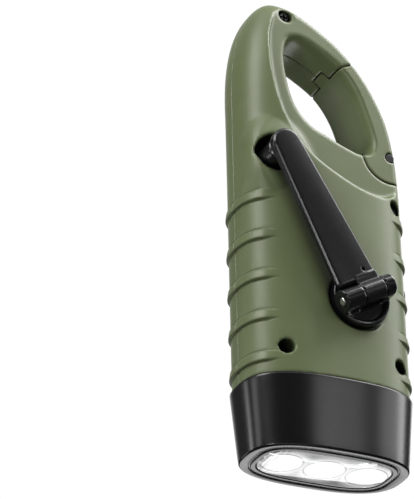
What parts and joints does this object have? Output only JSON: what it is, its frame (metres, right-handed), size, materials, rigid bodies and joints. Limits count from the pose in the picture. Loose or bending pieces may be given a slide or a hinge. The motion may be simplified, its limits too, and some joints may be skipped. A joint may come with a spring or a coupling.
{
  "type": "hand crank flashlight",
  "caption": "Handheld torch with a flat oval body, ribbed flanks, an oval LED head, a solar panel, a fold-out generator crank and a carabiner loop with a sprung gate",
  "frame": {"origin": "centre of the flat lens face, which the torch stands on", "axes": "+Z runs from the lens face to the carabiner loop, -Y is the side with the crank, +Y the side with the solar panel, -X the fixed spine of the loop and +X the gate"},
  "size_m": [0.0572, 0.0416, 0.1559],
  "materials": {
    "body_front": "satin olive moulding",
    "body_rear": "satin olive moulding",
    "gate": "satin olive moulding",
    "cap": "gloss charcoal",
    "lens": "clear polished acrylic",
    "reflector": "metallised",
    "board": "printed laminate",
    "led": "clear cast resin",
    "panel_frame": "satin dark grey",
    "cell": "copper tinted cell under resin",
    "battery_wrap": "shrink sleeve",
    "stator": "varnished copper winding",
    "rotor": "ground magnet",
    "steel": "brushed",
    "nylon": "moulded nylon",
    "bush": "sintered",
    "pin": "polished",
    "button": "soft matt",
    "switch": "moulded",
    "screw": "blackened",
    "hub": "gloss black",
    "arm": "satin black",
    "knob": "satin black",
    "axle": "satin black"
  },
  "bodies": {
    "housing": {"front_shell": "body_front", "rear_shell": "body_rear", "head_cap": "cap", "front_lens": "lens", "reflector": "reflector", "led_board": "board", "led_1": "led", "led_2": "led", "led_3": "led", "solar_frame": "panel_frame", "solar_cell": "cell", "circuit_board": "board", "battery": "battery_wrap", "generator_stator": "stator", "gear_plate": "steel", "idler_axle": "steel", "shaft_bush": "bush", "gate_pin": "pin", "gate_spring": "steel", "button_switch": "switch", "shell_screw_top": "screw", "shell_screw_gate": "screw", "shell_screw_left": "screw", "shell_screw_right": "screw"},
    "crank": {"crank_hub": "hub", "hinge_pin": "pin", "drive_gear": "nylon"},
    "arm": {"crank_arm": "arm"},
    "knob_body": {"knob": "knob", "knob_axle": "axle"},
    "idler": {"idler_gear": "nylon"},
    "rotor": {"generator_rotor": "rotor"},
    "gate_body": {"gate": "gate"},
    "button": {"power_button": "button"}
  },
  "joints": [
    {"name": "crank_spin", "type": "hinge", "parent": "housing", "child": "crank", "pos_m": [0.0056, -0.021, 0.0497], "axis": [0, 1, 0], "continuous": true},
    {"name": "idler_spin", "type": "hinge", "parent": "housing", "child": "idler", "pos_m": [-0.00733, -0.01, 0.06055], "axis": [0, 1, 0], "continuous": true},
    {"name": "rotor_spin", "type": "hinge", "parent": "housing", "child": "rotor", "pos_m": [0.00312, 0, 0.071], "axis": [0, 1, 0], "continuous": true},
    {"name": "arm_fold", "type": "hinge", "parent": "crank", "child": "arm", "pos_m": [0.0056, -0.021, 0.0497], "axis": [0.8746, 0, 0.4848], "range_deg": [0, 180]},
    {"name": "knob_spin", "type": "hinge", "parent": "arm", "child": "knob_body", "pos_m": [-0.01951, -0.021, 0.09501], "axis": [0, 1, 0], "continuous": true},
    {"name": "gate_open", "type": "hinge", "parent": "housing", "child": "gate_body", "pos_m": [0.0222, 0, 0.1053], "axis": [0, -1, 0], "range_deg": [0, 28], "stiffness_Nm_per_rad": 0.03, "springref_deg": -20.05},
    {"name": "button_press", "type": "slide", "parent": "housing", "child": "button", "axis": [-1, 0, 0], "range_m": [0, 0.0008], "stiffness_N_per_m": 600, "springref_m": -0.001}
  ],
  "couplings": [
    {"joint": "idler_spin", "follows": "crank_spin", "ratio": -3},
    {"joint": "rotor_spin", "follows": "crank_spin", "ratio": 7.5}
  ]
}
